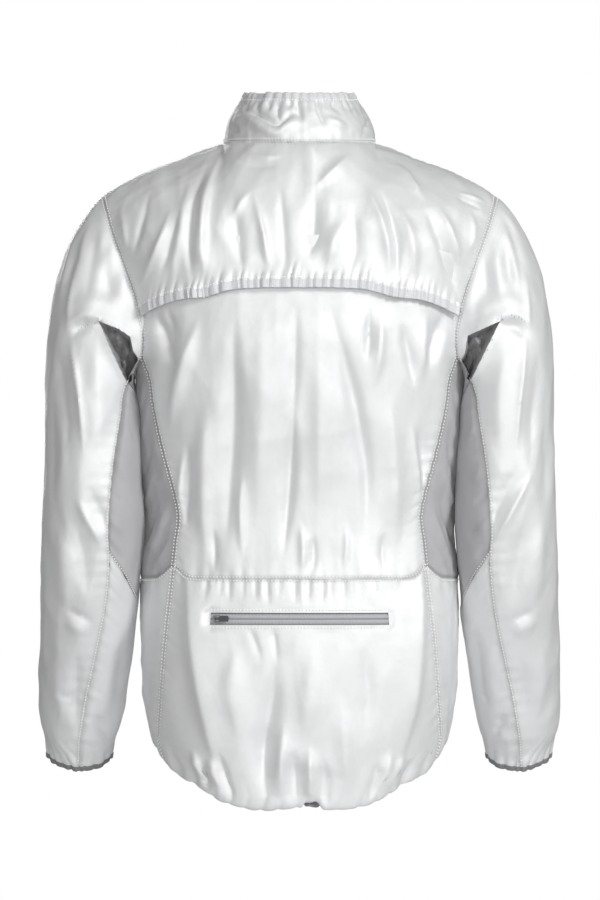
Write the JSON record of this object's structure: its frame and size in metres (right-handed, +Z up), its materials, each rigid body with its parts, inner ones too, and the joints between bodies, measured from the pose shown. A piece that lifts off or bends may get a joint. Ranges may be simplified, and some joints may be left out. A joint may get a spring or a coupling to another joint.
{
  "type": "high-visibility jacket",
  "caption": "Light reflective zip jacket in its filled-out worn shape: stand collar, vented back yoke, zipped back pocket, stretch side and underarm panels, elastic cuffs and dropped hem.",
  "frame": {"origin": "middle of the wearer's shoulder line, just below the back neck seam", "axes": "+Z up, +X toward the wearer's left, -Y toward the front"},
  "size_m": [0.591, 0.2446, 0.8049],
  "materials": {
    "silver_cloth": "silvery retroreflective coating on a light woven cloth",
    "grey_stretch": "matt knitted stretch cloth",
    "pale_elastic": "folded elastic binding",
    "dark_elastic": "matt elastic binding",
    "zip_tape": "woven tape",
    "zip_coil": "moulded nylon coil",
    "slider_metal": "grey plated",
    "pull_rubber": "soft moulded"
  },
  "bodies": {
    "jacket": {"back_yoke": "silver_cloth", "back_panel": "silver_cloth", "back_lower": "silver_cloth", "collar": "silver_cloth", "front_left": "silver_cloth", "front_right": "silver_cloth", "side_lower_left": "silver_cloth", "side_lower_right": "silver_cloth", "sleeve_outer_left": "silver_cloth", "sleeve_outer_right": "silver_cloth", "sleeve_under_left": "silver_cloth", "sleeve_under_right": "silver_cloth", "side_panel_left": "grey_stretch", "side_panel_right": "grey_stretch", "sleeve_insert_left": "grey_stretch", "sleeve_insert_right": "grey_stretch", "collar_binding": "pale_elastic", "yoke_binding": "pale_elastic", "cuff_binding_left": "dark_elastic", "cuff_binding_right": "dark_elastic", "hem_binding": "dark_elastic", "pocket_tape_upper": "zip_tape", "pocket_tape_lower": "zip_tape", "pocket_coil": "zip_coil", "front_tape_left": "zip_tape", "front_tape_right": "zip_tape", "front_coil": "zip_coil", "pocket_slider": "slider_metal", "front_slider": "slider_metal"},
    "pocket_tab": {"pocket_pull": "pull_rubber"},
    "front_tab": {"front_pull": "pull_rubber"}
  },
  "joints": [
    {"name": "pocket_tab_swing", "type": "hinge", "parent": "jacket", "child": "pocket_tab", "pos_m": [0.09245, 0.10148, -0.53243], "axis": [0.0306, 0.103, -0.9942], "range_deg": [0, 150]},
    {"name": "front_tab_swing", "type": "hinge", "parent": "jacket", "child": "front_tab", "pos_m": [0, -0.08521, -0.01036], "axis": [-1, 0, 0], "range_deg": [0, 150]}
  ]
}
